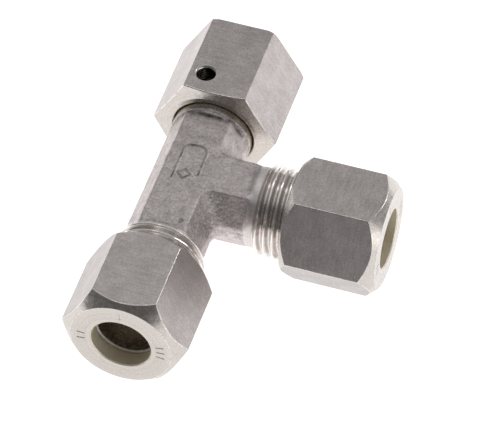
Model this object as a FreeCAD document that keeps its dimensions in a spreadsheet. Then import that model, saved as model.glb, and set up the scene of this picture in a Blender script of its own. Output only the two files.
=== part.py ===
"""Run tee compression fitting for 10 mm tube, light series, with one swivel end.

Millimetres. The origin is the point where the run and branch axes cross. The run lies along Y
with the swivel end at +Y, the branch points along +X, and +Z is up. Every size is a cell of the
sheet "sizes", and the sketches and features are bound to those cells.
"""
import FreeCAD, Part
import Sketcher
import math
import os
import re

from FreeCAD import Placement, Rotation, Vector

SIZES = {
    # thread M16 x 1.5, the same on both male ends, both union nuts and the swivel nut
    "pitch": 1.5,
    "male_radius": 8.0,
    "male_root_radius": 7.08,
    "male_cutter_radius": 8.2,
    "root_half_width": 0.09,
    "tan_flank": 0.5774,
    "flank_gap": 0.115,
    "female_radius": 7.25,
    "female_root_radius": 8.12,
    "female_cutter_inside": 0.05,
    # male 24 degree ends, measured from the centre of the tee
    "end_face": 26.0,
    "end_chamfer": 0.8,
    "neck_radius": 6.95,
    "run_neck_end": 14.4,
    "branch_neck_end": 13.3,
    "neck_slope": 0.8,
    "helix_start": 12.7,
    "helix_length": 14.6,
    "cone_mouth_radius": 6.15,
    "cone_tangent": 0.21256,
    "socket_radius": 5.08,
    "tube_stop": 19.0,
    "bore_radius": 4.0,
    # forged middle of the tee
    "forging_radius": 6.98,
    "forging_flat": 6.2,
    "flat_half_width": 4.0,
    "shoulder_out": 6.85,
    "shoulder_up": 1.34,
    "run_forging_end": 14.0,
    "branch_forging_end": 12.0,
    "swivel_forging_end": 12.2,
    "corner_radius": 2.6,
    # raised die frame and mark on the run's upper flat
    "frame_left": 1.9,
    "frame_right": 2.45,
    "frame_top": 4.8,
    "frame_foot": 3.25,
    "frame_corner": 1.6,
    "frame_line": 0.24,
    "frame_rise": 0.16,
    "mark_place": 1.9,
    "mark_half": 1.2,
    "mark_line": 0.3,
    # swivel end of the body
    "collar_radius": 6.85,
    "collar_start": 11.7,
    "collar_end": 21.3,
    "spigot_radius": 6.3,
    "spigot_start": 22.0,
    "spigot_tip": 29.0,
    "spigot_tip_radius": 4.85,
    "swivel_bore_radius": 3.5,
    "seal_groove_radius": 4.2,
    "seal_groove_start": 24.55,
    "seal_groove_end": 26.45,
    # retaining wire and the groove that it runs in
    "wire_radius": 1.0,
    "wire_ring_radius": 7.02,
    "wire_groove_radius": 1.1,
    "wire_place": 18.2,
    "wire_free_angle": 75.0,
    "hook_bend": 1.15,
    "hook_tip": 4.6,
    "hook_hole_radius": 1.2,
    "hook_hole_floor": 4.4,
    # O-ring
    "seal_radius": 0.75,
    "seal_ring_radius": 4.98,
    # union nuts, with lengths measured from the rear face
    "hex_flats": 19.0,
    "nut_rear": 18.85,
    "nut_length": 16.5,
    "nut_rear_ring": 9.4,
    "nut_front_ring": 8.65,
    "nut_bore_radius": 5.15,
    "nut_bore_land": 2.75,
    "nut_edge": 0.2,
    "relief_start": 9.1,
    "relief_end": 10.9,
    "relief_radius": 8.2,
    "mouth_radius": 8.15,
    "tick_depth": 0.1,
    "tick_inner": 6.2,
    "tick_outer": 7.6,
    "tick_half_width": 0.11,
    # cutting rings, with lengths measured from the thin front edge
    "ring_place": 22.8,
    "ring_length": 9.5,
    "ring_tip_radius": 5.36,
    "ring_front_radius": 5.9,
    "ring_front_length": 2.7,
    "ring_waist_length": 4.2,
    "ring_step_length": 5.1,
    "ring_body_radius": 6.7,
    "ring_rear_radius": 5.35,
    # swivel nut, with lengths measured from its rear face
    "swivel_rear": 13.6,
    "swivel_length": 17.4,
    "swivel_bore": 7.19,
    "swivel_mouth": 7.4,
    "swivel_rear_ring": 8.2,
    "swivel_rear_drop": 0.8,
    "swivel_front_ring": 10.45,
    "swivel_front_drop": 0.3,
    "swivel_relief_start": 7.4,
    "swivel_relief_end": 9.0,
    "wire_hole_radius": 1.55,
    "wire_hole_sink": 0.3,
    "wire_hole_side": 2.7,
    "wire_hole_depth": 5.2,
}

# Each end has its own outward axis: local Z points out of the tee and local Y points up.
OUTWARD = {
    "run": Rotation(Vector(1, 0, 0), Vector(0, 0, 1), Vector(0, -1, 0), "ZYX"),
    "branch": Rotation(Vector(0, 1, 0), Vector(0, 0, 1), Vector(1, 0, 0), "ZYX"),
    "swivel": Rotation(Vector(-1, 0, 0), Vector(0, 0, 1), Vector(0, 1, 0), "ZYX"),
}

# Engraved ticks on a union nut's face, as the angles in degrees at which they stand.
TICK_ANGLES = (90.0, 175.0, 186.0, -8.0, 2.0, 12.0)

doc = FreeCAD.newDocument("compression_fitting")


def make_sheet():
    """The sheet of driving dimensions, one named cell for each."""
    sheet = doc.addObject("Spreadsheet::Sheet", "sizes")
    for row, (name, value) in enumerate(SIZES.items(), start=1):
        sheet.set(f"A{row}", name)
        sheet.set(f"B{row}", str(value))
        sheet.setAlias(f"B{row}", name)
    doc.recompute()
    return sheet


def formula(text):
    """An expression in which every size name points at its cell in the sheet."""
    return re.sub(r"[a-z][a-z_]+", lambda word: cell(word.group()), text)


def cell(word):
    return "sizes." + word if word in SIZES else word


def new_body(name):
    body = doc.addObject("PartDesign::Body", name)
    body.Label = name
    return body


def new_sketch(body, name, role, lift=None):
    """An empty sketch on one of the body's own planes, lifted off it by a formula if given."""
    sketch = body.newObject("Sketcher::SketchObject", name)
    plane = next(item for item in body.Origin.OriginFeatures if item.Role == role)
    sketch.AttachmentSupport = [(plane, "")]
    sketch.MapMode = "FlatFace"
    if lift:
        sketch.setExpression(".AttachmentOffset.Base.z", formula(lift))
    doc.recompute()
    return sketch


def value_of(sketch, text):
    return float(sketch.evalExpression(formula(text)))


def hold(sketch, kind, *where, text):
    """A dimension that follows its formula."""
    number = sketch.addConstraint(Sketcher.Constraint(kind, *where, value_of(sketch, text)))
    sketch.setExpression(f"Constraints[{number}]", formula(text))


def arc_between(begin, end, radius, left):
    """The shorter arc from begin to end, whose centre is to the left or right of the way."""
    chord = end - begin
    half = chord.Length / 2
    rise = math.sqrt(max(radius * radius - half * half, 0.0))
    side = Vector(-chord.y, chord.x, 0).normalize() * (1 if left else -1)
    centre = (begin + end) * 0.5 + side * rise
    first, last = (begin, end) if left else (end, begin)
    start = math.atan2(first.y - centre.y, first.x - centre.x)
    stop = math.atan2(last.y - centre.y, last.x - centre.x)
    return Part.ArcOfCircle(Part.Circle(centre, Vector(0, 0, 1), radius), start, stop)


def trace(sketch, corners, closed=True):
    """Draws one outline. A corner is (x, y), or (x, y, radius, side) when an arc leads to it."""
    places = [Vector(value_of(sketch, c[0]), value_of(sketch, c[1]), 0) for c in corners]
    count = len(corners)
    ends = []
    for index in range(count if closed else count - 1):
        begin = places[index]
        end = places[(index + 1) % count]
        target = corners[(index + 1) % count]
        if len(target) == 2:
            edge = sketch.addGeometry(Part.LineSegment(begin, end))
            ends.append((edge, 1, 2))
            continue
        left = target[3] == "left"
        edge = sketch.addGeometry(arc_between(begin, end, value_of(sketch, target[2]), left))
        ends.append((edge, 1, 2) if left else (edge, 2, 1))
        hold(sketch, "Radius", edge, text=target[2])
    for index, (edge, first, last) in enumerate(ends):
        hold(sketch, "DistanceX", -1, 1, edge, first, text=corners[index][0])
        hold(sketch, "DistanceY", -1, 1, edge, first, text=corners[index][1])
        if closed or index + 1 < len(ends):
            following = ends[(index + 1) % len(ends)]
            sketch.addConstraint(
                Sketcher.Constraint("Coincident", edge, last, following[0], following[1]))
    if not closed:
        hold(sketch, "DistanceX", -1, 1, ends[-1][0], ends[-1][2], text=corners[-1][0])
        hold(sketch, "DistanceY", -1, 1, ends[-1][0], ends[-1][2], text=corners[-1][1])


def outline(body, name, role, corners, lift=None):
    sketch = new_sketch(body, name, role, lift)
    trace(sketch, corners)
    doc.recompute()
    return sketch


def round_outline(body, name, role, x, y, radius, lift=None):
    """A circle whose centre and radius are formulas."""
    sketch = new_sketch(body, name, role, lift)
    centre = Vector(value_of(sketch, x), value_of(sketch, y), 0)
    edge = sketch.addGeometry(Part.Circle(centre, Vector(0, 0, 1), value_of(sketch, radius)))
    hold(sketch, "DistanceX", -1, 1, edge, 3, text=x)
    hold(sketch, "DistanceY", -1, 1, edge, 3, text=y)
    hold(sketch, "Radius", edge, text=radius)
    doc.recompute()
    return sketch


def feature(body, kind, name, profile, **settings):
    """A feature on a sketch; a setting given as text is a formula, unless it is a choice."""
    before = body.Shape.Volume if body.Tip else 0.0
    item = body.newObject("PartDesign::" + kind, name)
    item.Profile = profile
    for key, setting in settings.items():
        if isinstance(setting, str) and key != "SideType":
            item.setExpression(key, formula(setting))
        else:
            setattr(item, key, setting)
    doc.recompute()
    taken = kind in ("Pocket", "Groove", "SubtractiveHelix")
    grown = body.Shape.Volume - before
    if (taken and grown >= 0) or (not taken and grown <= 0):
        raise RuntimeError(f"{body.Label}.{name} changed the volume by {grown:.3f}")
    return item


def turned(body, kind, name, profile, axis="V_Axis"):
    """A full turn of an outline about one of its sketch's axes."""
    return feature(body, kind, name, profile, ReferenceAxis=(profile, [axis]), Angle=360)


def thread_cut(body, name, profile, height, axis="V_Axis", backwards=False):
    """A right-hand helical groove of the common pitch."""
    return feature(body, "SubtractiveHelix", name, profile, ReferenceAxis=(profile, [axis]),
                   Mode=0, Pitch="pitch", Height=height, LeftHanded=False, Reversed=backwards)


def swapped(corners):
    """The same outline with its two coordinates exchanged."""
    return [(corner[1], corner[0]) for corner in corners]


def male_groove():
    """Groove between two male ridges, as (radius, distance along the end) corners."""
    half_top = "(root_half_width + tan_flank*(male_cutter_radius - male_root_radius))"
    return [("male_root_radius", "helix_start - root_half_width"),
            ("male_cutter_radius", f"helix_start - {half_top}"),
            ("male_cutter_radius", f"helix_start + {half_top}"),
            ("male_root_radius", "helix_start + root_half_width")]


def female_groove(place):
    """Groove in a nut that clears a male ridge by the flank gap, centred at a place on its axis."""
    inner = "(female_radius - female_cutter_inside)"
    widest = "(pitch/2 - root_half_width + flank_gap)"
    half_in = f"({widest} - tan_flank*({inner} - male_root_radius))"
    half_out = f"({widest} - tan_flank*(female_root_radius - male_root_radius))"
    return [(inner, f"{place} - {half_in}"),
            ("female_root_radius", f"{place} - {half_out}"),
            ("female_root_radius", f"{place} + {half_out}"),
            (inner, f"{place} + {half_in}")]


def downwards(corners):
    """The same outline on the negative side of the sketch's Y axis."""
    return [(corner[0], f"-({corner[1]})") for corner in corners]


def arm_section(body, name, role):
    """Section of a forged arm: flats above and below, sloped shoulders and round sides."""
    corners = []
    for side, up in ((1, -1), (1, 1), (-1, 1), (-1, -1)):
        flat = (f"{side}*flat_half_width", f"{up}*forging_flat")
        shoulder = (f"{side}*shoulder_out", f"{up}*shoulder_up")
        if side == up:
            corners += [shoulder + ("forging_radius", "left"), flat]
        else:
            corners += [flat, shoulder]
    return outline(body, name, role, corners)


def corner_edges(shape, reach):
    """Names of the edges where the branch arm meets the run arm, on the two mitre planes."""
    names = []
    for number, edge in enumerate(shape.Edges, start=1):
        middle = edge.valueAt((edge.FirstParameter + edge.LastParameter) / 2)
        on_mitre = abs(middle.x - abs(middle.y)) < 1e-3
        if on_mitre and middle.x > reach:
            names.append(f"Edge{number}")
    return names


def forge_tee(body):
    """The forged middle: two crossing arms with rounded inner corners."""
    run = arm_section(body, "run_section", "XZ_Plane")
    feature(body, "Pad", "run_arm", run, SideType="Two sides",
            Length="run_forging_end", Length2="swivel_forging_end")
    branch = arm_section(body, "branch_section", "YZ_Plane")
    arm = feature(body, "Pad", "branch_arm", branch, Length="branch_forging_end")
    corners = body.newObject("PartDesign::Fillet", "arm_corners")
    corners.Base = (arm, corner_edges(arm.Shape, SIZES["flat_half_width"]))
    corners.setExpression("Radius", formula("corner_radius"))
    doc.recompute()


def raise_die_frame(body):
    """The raised frame, open at its foot, and the plain lozenge mark at its open end."""
    bend = "frame_corner"
    inner_bend = "frame_corner - frame_line"
    frame = [("-frame_left", "-frame_foot"),
             ("-(frame_left - frame_line)", "-frame_foot"),
             ("-(frame_left - frame_line)", "frame_top - frame_corner"),
             ("frame_corner - frame_left", "frame_top - frame_line", inner_bend, "right"),
             ("frame_right - frame_corner", "frame_top - frame_line"),
             ("frame_right - frame_line", "frame_top - frame_corner", inner_bend, "right"),
             ("frame_right - frame_line", "-frame_foot/2"),
             ("frame_right", "-frame_foot/2"),
             ("frame_right", "frame_top - frame_corner"),
             ("frame_right - frame_corner", "frame_top", bend, "left"),
             ("frame_corner - frame_left", "frame_top"),
             ("-frame_left", "frame_top - frame_corner", bend, "left")]
    sketch = outline(body, "die_frame", "XY_Plane", frame, lift="forging_flat - frame_line")
    feature(body, "Pad", "raised_frame", sketch, Length="frame_rise + frame_line")
    sketch = new_sketch(body, "die_mark", "XY_Plane", lift="forging_flat - frame_line")
    for reach in ("mark_half", "(mark_half - mark_line)"):
        trace(sketch, [(reach, "-mark_place"),
                       ("0", f"{reach} - mark_place"),
                       (f"-{reach}", "-mark_place"),
                       ("0", f"-{reach} - mark_place")])
    doc.recompute()
    feature(body, "Pad", "raised_mark", sketch, Length="frame_rise + frame_line")


def machine_male_end(body, end):
    """One male end: neck, threaded barrel, 24 degree cone, tube socket and flow bore."""
    on_run = end == "run"
    axis = "V_Axis" if on_run else "H_Axis"
    turn_corners = downwards if on_run else swapped
    forging_end = f"{end}_forging_end"
    neck_end = f"{end}_neck_end"
    barrel = [("0", f"{forging_end} - neck_slope"),
              ("forging_flat", f"{forging_end} - neck_slope"),
              ("neck_radius", forging_end),
              ("neck_radius", neck_end),
              ("male_radius", f"{neck_end} + neck_slope"),
              ("male_radius", "end_face - end_chamfer"),
              ("male_radius - end_chamfer", "end_face"),
              ("0", "end_face")]
    profile = outline(body, f"{end}_barrel_outline", "XY_Plane", turn_corners(barrel))
    turned(body, "Revolution", f"{end}_barrel", profile, axis)
    seat = "end_face - (cone_mouth_radius - socket_radius)/cone_tangent"
    bore = [("0", "0"),
            ("bore_radius", "0"),
            ("bore_radius", "tube_stop"),
            ("socket_radius", "tube_stop"),
            ("socket_radius", seat),
            ("cone_mouth_radius", "end_face"),
            ("0", "end_face")]
    profile = outline(body, f"{end}_bore_outline", "XY_Plane", turn_corners(bore))
    turned(body, "Groove", f"{end}_bore", profile, axis)
    profile = outline(body, f"{end}_groove_outline", "XY_Plane", turn_corners(male_groove()))
    thread_cut(body, f"{end}_thread", profile, "helix_length", axis, backwards=on_run)


def machine_swivel_end(body):
    """The collar with its wire groove, and the taper with its seal groove."""
    taper = "(spigot_radius - spigot_tip_radius)/(spigot_tip - spigot_start)"
    blank = [("0", "collar_start"),
             ("collar_radius", "collar_start"),
             ("collar_radius", "collar_end"),
             ("spigot_radius", "spigot_start"),
             ("spigot_tip_radius", "spigot_tip"),
             ("0", "spigot_tip")]
    turned(body, "Revolution", "swivel_spigot",
           outline(body, "spigot_outline", "XY_Plane", blank))
    cut_seal_groove(body, taper)
    turned(body, "Groove", "wire_groove",
           round_outline(body, "wire_groove_outline", "XY_Plane",
                         "wire_ring_radius", "wire_place", "wire_groove_radius"))
    bore = [("0", "0"),
            ("swivel_bore_radius", "0"),
            ("swivel_bore_radius", "spigot_tip"),
            ("0", "spigot_tip")]
    turned(body, "Groove", "swivel_bore", outline(body, "swivel_bore_outline", "XY_Plane", bore))
    hook = round_outline(body, "hook_hole_outline", "XY_Plane",
                         "0", "wire_place", "hook_hole_radius", lift="hook_hole_floor")
    feature(body, "Pocket", "hook_hole", hook, Reversed=True,
            Length="male_radius - hook_hole_floor")


def cut_seal_groove(body, taper):
    """The square groove for the O-ring, cut from the groove floor out past the taper."""
    over = f"(spigot_radius - {taper}*(seal_groove_start - spigot_start) + seal_radius)"
    corners = [("seal_groove_radius", "seal_groove_start"),
               (over, "seal_groove_start"),
               (over, "seal_groove_end"),
               ("seal_groove_radius", "seal_groove_end")]
    turned(body, "Groove", "seal_groove",
           outline(body, "seal_groove_outline", "XY_Plane", corners))


def make_tee():
    body = new_body("tee_body")
    forge_tee(body)
    raise_die_frame(body)
    machine_male_end(body, "run")
    machine_male_end(body, "branch")
    machine_swivel_end(body)
    return body


def hex_blank(body, length):
    """A hexagonal bar with flats facing local +Y and -Y, rising along local Z."""
    reach = "hex_flats/sqrt(3)"
    corners = [(reach, "0"),
               (f"{reach}/2", "hex_flats/2"),
               (f"-{reach}/2", "hex_flats/2"),
               (f"-{reach}", "0"),
               (f"-{reach}/2", "-hex_flats/2"),
               (f"{reach}/2", "-hex_flats/2")]
    feature(body, "Pad", "hexagon", outline(body, "hexagon_outline", "XY_Plane", corners),
            Length=length)


def turn_hex_end(body, name, face, ring, drop):
    """Turns the six corners off one end of the hexagon, from a ring on the end face outward."""
    reach = "(hex_flats/sqrt(3) + 1)"
    slope = f"({drop})*({reach} - ({ring}))/(hex_flats/sqrt(3) - ({ring}))"
    corners = [(ring, face), (reach, face), (reach, f"{face} + {slope}")]
    turned(body, "Groove", name, outline(body, name + "_outline", "XZ_Plane", corners))


def make_union_nut(end):
    body = new_body(f"union_nut_{end}")
    hex_blank(body, "nut_length")
    turn_hex_end(body, "rear_corners", "0", "nut_rear_ring", "hex_flats/sqrt(3) - nut_rear_ring")
    turn_hex_end(body, "front_corners", "nut_length", "nut_front_ring",
                 "nut_front_ring - hex_flats/sqrt(3)")
    cone_end = "(nut_length - nut_bore_land)"
    inside = [("0", "0"),
              ("mouth_radius", "0"),
              ("female_radius", "mouth_radius - female_radius"),
              ("female_radius", "relief_start"),
              ("relief_radius", "relief_start"),
              ("relief_radius", "relief_end"),
              ("female_radius", "relief_end"),
              ("female_radius", f"{cone_end} - (female_radius - nut_bore_radius)"),
              ("nut_bore_radius", cone_end),
              ("nut_bore_radius", "nut_length - nut_edge"),
              ("nut_bore_radius + nut_edge", "nut_length"),
              ("0", "nut_length")]
    turned(body, "Groove", "inside", outline(body, "inside_outline", "XZ_Plane", inside))
    place = "(helix_start + 2.5*pitch - nut_rear)"
    thread_cut(body, "thread", outline(body, "groove_outline", "XZ_Plane", female_groove(place)),
               f"(relief_start + relief_end)/2 - {place}")
    engrave_ticks(body)
    body.Placement = Placement(outward_point(end, SIZES["nut_rear"]), OUTWARD[end])
    return body


def engrave_ticks(body):
    """Short radial ticks on the flat outer face, as plain size marks."""
    sketch = new_sketch(body, "tick_outlines", "XY_Plane", lift="nut_length")
    for angle in TICK_ANGLES:
        trace(sketch, [tick_corner(angle, radius, side)
                       for radius, side in (("tick_inner", -1), ("tick_outer", -1),
                                            ("tick_outer", 1), ("tick_inner", 1))])
    doc.recompute()
    feature(body, "Pocket", "ticks", sketch, Length="tick_depth")


def tick_corner(angle, radius, side):
    return (f"{radius}*cos({angle}) - {side}*tick_half_width*sin({angle})",
            f"{radius}*sin({angle}) + {side}*tick_half_width*cos({angle})")


def outward_point(end, distance):
    """The point on an end's axis at a distance from the centre of the tee."""
    return OUTWARD[end].multVec(Vector(0, 0, distance))


def make_cutting_ring(end):
    body = new_body(f"cutting_ring_{end}")
    section = [("socket_radius", "0"),
               ("ring_tip_radius", "0"),
               ("ring_front_radius", "ring_front_length"),
               ("ring_front_radius", "ring_waist_length"),
               ("ring_body_radius", "ring_step_length"),
               ("ring_body_radius", "ring_length - (ring_body_radius - ring_rear_radius)"),
               ("ring_rear_radius", "ring_length"),
               ("socket_radius", "ring_length")]
    turned(body, "Revolution", "ring", outline(body, "ring_section", "XZ_Plane", section))
    body.Placement = Placement(outward_point(end, SIZES["ring_place"]), OUTWARD[end])
    return body


def make_swivel_nut():
    body = new_body("swivel_nut")
    hex_blank(body, "swivel_length")
    turn_hex_end(body, "rear_corners", "0", "swivel_rear_ring", "swivel_rear_drop")
    turn_hex_end(body, "front_corners", "swivel_length", "swivel_front_ring",
                 "-swivel_front_drop")
    inside = [("0", "0"),
              ("swivel_mouth", "0"),
              ("swivel_bore", "swivel_mouth - swivel_bore"),
              ("swivel_bore", "swivel_relief_start"),
              ("relief_radius", "swivel_relief_start"),
              ("relief_radius", "swivel_relief_end"),
              ("female_radius", "swivel_relief_end"),
              ("female_radius", "swivel_length - (mouth_radius - female_radius)"),
              ("mouth_radius", "swivel_length"),
              ("0", "swivel_length")]
    turned(body, "Groove", "inside", outline(body, "inside_outline", "XZ_Plane", inside))
    place = "wire_place - swivel_rear"
    turned(body, "Groove", "wire_groove",
           round_outline(body, "wire_groove_outline", "XZ_Plane",
                         "wire_ring_radius", place, "wire_groove_radius"))
    middle = "(swivel_relief_start + swivel_relief_end)/2"
    thread_cut(body, "thread", outline(body, "groove_outline", "XZ_Plane", female_groove(middle)),
               f"swivel_length + pitch - {middle}")
    drill_wire_hole(body)
    body.Placement = Placement(outward_point("swivel", SIZES["swivel_rear"]), OUTWARD["swivel"])
    return body


def drill_wire_hole(body):
    """The countersunk hole in the upper flat that the wire is fed through."""
    sketch = new_sketch(body, "wire_hole_outline", "XY_Plane")
    sketch.setExpression(".AttachmentOffset.Base.x", formula("wire_hole_side"))
    sketch.setExpression(".AttachmentOffset.Base.y", formula("hex_flats/2"))
    sketch.setExpression(".AttachmentOffset.Base.z", formula("wire_place - swivel_rear"))
    tip = "wire_hole_depth + 0.6*wire_hole_radius"
    trace(sketch, [("0", "wire_hole_radius"),
                   ("0", f"-({tip})"),
                   ("wire_hole_radius", "-wire_hole_depth"),
                   ("wire_hole_radius", "-wire_hole_sink"),
                   ("2*wire_hole_radius + wire_hole_sink", "wire_hole_radius")])
    doc.recompute()
    turned(body, "Groove", "wire_hole", sketch)


def make_retaining_wire():
    """The bent wire: a ring whose end is hooked inward, into the hole in the body."""
    body = new_body("retaining_wire")
    path = new_sketch(body, "wire_path", "XY_Plane")
    bend_centre = "(wire_ring_radius - hook_bend)"
    hook_angle = "(360 - wire_free_angle)*1deg"
    bend_angle = f"({hook_angle} - asin(hook_bend/{bend_centre}))"
    bend_foot = f"sqrt({bend_centre}^2 - hook_bend^2)"
    stops = [("wire_ring_radius", "0"),
             polar("wire_ring_radius", "90") + ("wire_ring_radius", "left"),
             polar("wire_ring_radius", "180") + ("wire_ring_radius", "left"),
             polar("wire_ring_radius", bend_angle) + ("wire_ring_radius", "left"),
             polar(bend_foot, hook_angle) + ("hook_bend", "left"),
             polar("hook_tip", hook_angle)]
    trace(path, stops, closed=False)
    doc.recompute()
    section = round_outline(body, "wire_section", "XZ_Plane", "wire_ring_radius", "0",
                            "wire_radius")
    feature(body, "AdditivePipe", "wire", section, Spine=path)
    turn = Rotation(Vector(0, 1, 0), -SIZES["wire_free_angle"])
    upright = Rotation(Vector(0, 0, 1), Vector(-1, 0, 0), Vector(0, -1, 0), "ZYX")
    body.Placement = Placement(outward_point("swivel", SIZES["wire_place"]), turn * upright)
    return body


def polar(radius, angle):
    return (f"{radius}*cos({angle})", f"{radius}*sin({angle})")


def make_o_ring():
    ring = doc.addObject("Part::Torus", "o_ring")
    ring.Label = "o_ring"
    ring.setExpression("Radius1", formula("seal_ring_radius"))
    ring.setExpression("Radius2", formula("seal_radius"))
    middle = (SIZES["seal_groove_start"] + SIZES["seal_groove_end"]) / 2
    ring.Placement = Placement(outward_point("swivel", middle), OUTWARD["swivel"])
    return ring


def check(pieces):
    """Stops if any object failed, or a piece has no valid solid."""
    for item in doc.Objects:
        if "Invalid" in item.State or "Error" in item.State:
            raise RuntimeError(f"{item.Name} failed: {item.State}")
    for piece in pieces:
        shape = piece.Shape
        if shape.isNull() or not shape.isValid() or len(shape.Solids) != 1:
            raise RuntimeError(f"{piece.Label} is not one valid solid")


def main():
    make_sheet()
    pieces = [make_tee(), make_swivel_nut(), make_retaining_wire(), make_o_ring()]
    for end in ("run", "branch"):
        pieces.append(make_union_nut(end))
        pieces.append(make_cutting_ring(end))
    doc.recompute()
    check(pieces)
    os.makedirs("parts", exist_ok=True)
    for piece in pieces:
        piece.Shape.exportStep(f"parts/{piece.Label}.step")
        print(piece.Label, round(piece.Shape.Volume, 1), "mm3")
    return pieces


main()
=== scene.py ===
"""Looks of the run tee compression fitting: surfaces, metals, floor, light and camera.

Lengths in the code are millimetres, turned into metres by MM when a mesh, light or camera is
made. Each end of the tee has a local frame whose Z points out of the tee along that end.
"""
import math

import bmesh
import bpy
import numpy as np
from mathutils import Matrix, Vector, noise


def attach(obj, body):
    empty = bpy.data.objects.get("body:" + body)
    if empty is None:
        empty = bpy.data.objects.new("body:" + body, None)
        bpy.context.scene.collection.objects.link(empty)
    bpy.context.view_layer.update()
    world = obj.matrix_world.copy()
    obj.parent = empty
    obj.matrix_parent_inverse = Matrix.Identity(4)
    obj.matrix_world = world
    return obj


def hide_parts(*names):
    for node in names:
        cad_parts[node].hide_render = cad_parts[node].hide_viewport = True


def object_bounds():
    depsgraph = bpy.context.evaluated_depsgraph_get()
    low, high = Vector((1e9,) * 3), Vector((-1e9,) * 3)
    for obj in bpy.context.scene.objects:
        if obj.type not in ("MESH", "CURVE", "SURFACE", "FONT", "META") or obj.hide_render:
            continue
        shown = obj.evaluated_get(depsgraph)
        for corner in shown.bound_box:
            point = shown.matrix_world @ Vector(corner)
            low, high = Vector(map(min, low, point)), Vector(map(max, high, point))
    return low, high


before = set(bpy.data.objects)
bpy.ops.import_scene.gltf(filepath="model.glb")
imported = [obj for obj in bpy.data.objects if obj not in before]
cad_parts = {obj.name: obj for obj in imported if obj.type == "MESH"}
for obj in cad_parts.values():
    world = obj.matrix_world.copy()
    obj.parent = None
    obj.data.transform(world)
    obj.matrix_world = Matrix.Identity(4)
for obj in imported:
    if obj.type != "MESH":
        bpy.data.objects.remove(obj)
cad_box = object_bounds()

MM = 0.001

# local X, Y and Z of each end, as directions in the part's frame
END_AXES = {
    "run": ((1, 0, 0), (0, 0, 1), (0, -1, 0)),
    "branch": ((0, 1, 0), (0, 0, 1), (1, 0, 0)),
    "swivel": ((-1, 0, 0), (0, 0, 1), (0, 1, 0)),
}

# sections turned round an axis
ARC_STEPS = 5
ARC_ROOM = 0.45
SUPPORT = 0.02
ANGLE_STEP = 2.5
SHARP_ANGLE = 35.0
SAME_ANGLE = 1e-4
TINY = 0.01

# thread M16 x 1.5
PITCH = 1.5
MALE_CREST = 8.0
MALE_ROOT = 7.08
ROOT_HALF = 0.09
TAN_FLANK = 0.5774
FLANK_GAP = 0.115
FEMALE_CREST = 7.25
FEMALE_ROOT = 8.12
HELIX_START = 12.7
THREAD_STEP = 0.04
THREAD_SOFTNESS = 0.018
THREAD_MOUTH = 8.15
THREAD_END = 9.1
RELIEF_RADIUS = 8.2
END_GAP = 0.05

# hexagons
HEX_FLATS = 19.0
HEX_CORNERS = HEX_FLATS / math.sqrt(3)
HEX_CORNER_ROUND = 0.2
HEX_SECTOR = math.radians(60)
HEX_CORNER_SHARES = (-1.3, -1, -0.66, -0.33, 0.33, 0.66, 1, 1.3)

# union nuts, with lengths measured from the rear face
NUT_REAR = 18.85
NUT_LENGTH = 16.5
NUT_REAR_RING = 9.4
NUT_FRONT_RING = 8.65
NUT_BORE = 5.15
NUT_LAND = 2.75
NUT_EDGE = 0.2
NUT_RELIEF_END = 10.9
NUT_CHAMFER_SLOPE = math.sqrt(0.5)
TICK_ANGLES = (90.0, 175.0, 186.0, -8.0, 2.0, 12.0)
TICK_INNER = 6.2
TICK_OUTER = 7.6
TICK_MIDDLE = (TICK_INNER + TICK_OUTER) / 2
TICK_HALF = 0.11
TICK_DEPTH = 0.1

# swivel nut, with lengths measured from its rear face
SWIVEL_REAR = 13.6
SWIVEL_LENGTH = 17.4
SWIVEL_BORE = 7.19
SWIVEL_MOUTH = 7.4
SWIVEL_REAR_RING = 8.2
SWIVEL_REAR_DROP = 0.8
SWIVEL_FRONT_RING = 10.45
SWIVEL_FRONT_DROP = 0.3
SWIVEL_FACE_DROP = 0.1
SWIVEL_FACE_INSET = 0.12
SWIVEL_RELIEF = (7.4, 9.0)
SWIVEL_CHAMFER_SLOPES = (0.961, 0.866)
SWIVEL_SHARP_ANGLE = 30.0

# the wire's groove, and the hole that the wire is fed through
WIRE_RING = 7.02
WIRE_GROOVE = 1.1
WIRE_GROOVE_POINTS = 13
WIRE_PLACE = 18.2
WIRE_HOLE_PLACE = (2.7, HEX_FLATS / 2, WIRE_PLACE - SWIVEL_REAR)
WIRE_HOLE_RADIUS = 1.55
WIRE_HOLE_DEPTH = 5.2
WIRE_HOLE_TIP = 6.0
WIRE_HOLE_SINK = 0.36
WIRE_HOLE_STEPS = 64
WIRE_HOLE_LOWEST = SWIVEL_BORE - 1.5
FLAT_MARGIN = 1e-5
SINK_SLOPES = (0.3, 0.99999)
SINK_REACH = 0.4
WALL_SLOPE = 0.1
SINK_SHARES = (0, 0.3, 0.55, 0.8, 1)
SINK_CURVE = 1.8

# machined ends of the tee, with lengths measured from the centre of the tee
NECK_RADIUS = 6.95
NECK_ENDS = {"run": 14.4, "branch": 13.3}
NECK_SLOPE = 1.3
NECK_FOOT = 6.8
NECK_INSIDE = 6.2
NECK_OVERLAP = 1.0
NECK_START_GAP = 0.04
NECK_FOOT_GAP = 0.1
END_FACE = 26.0
END_CHAMFER_RADIUS = 7.2
CONE_ANGLE = math.radians(12)
CONE_MOUTH = 6.15
SOCKET = 5.08
TUBE_STOP = 19.0
BORE = 3.98
COLLAR = 7.0
COLLAR_INSIDE = 5.6
COLLAR_START = 12.2
COLLAR_END = 21.3
COLLAR_CHAMFER = 0.25
SPIGOT = 6.3
SPIGOT_START = 22.0
SPIGOT_TIP = 29.0
SPIGOT_TIP_RADIUS = 4.85
SPIGOT_BORE = 3.48
SEAL_GROOVE = (24.55, 26.45)
SEAL_FLOOR = 4.2

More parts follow.
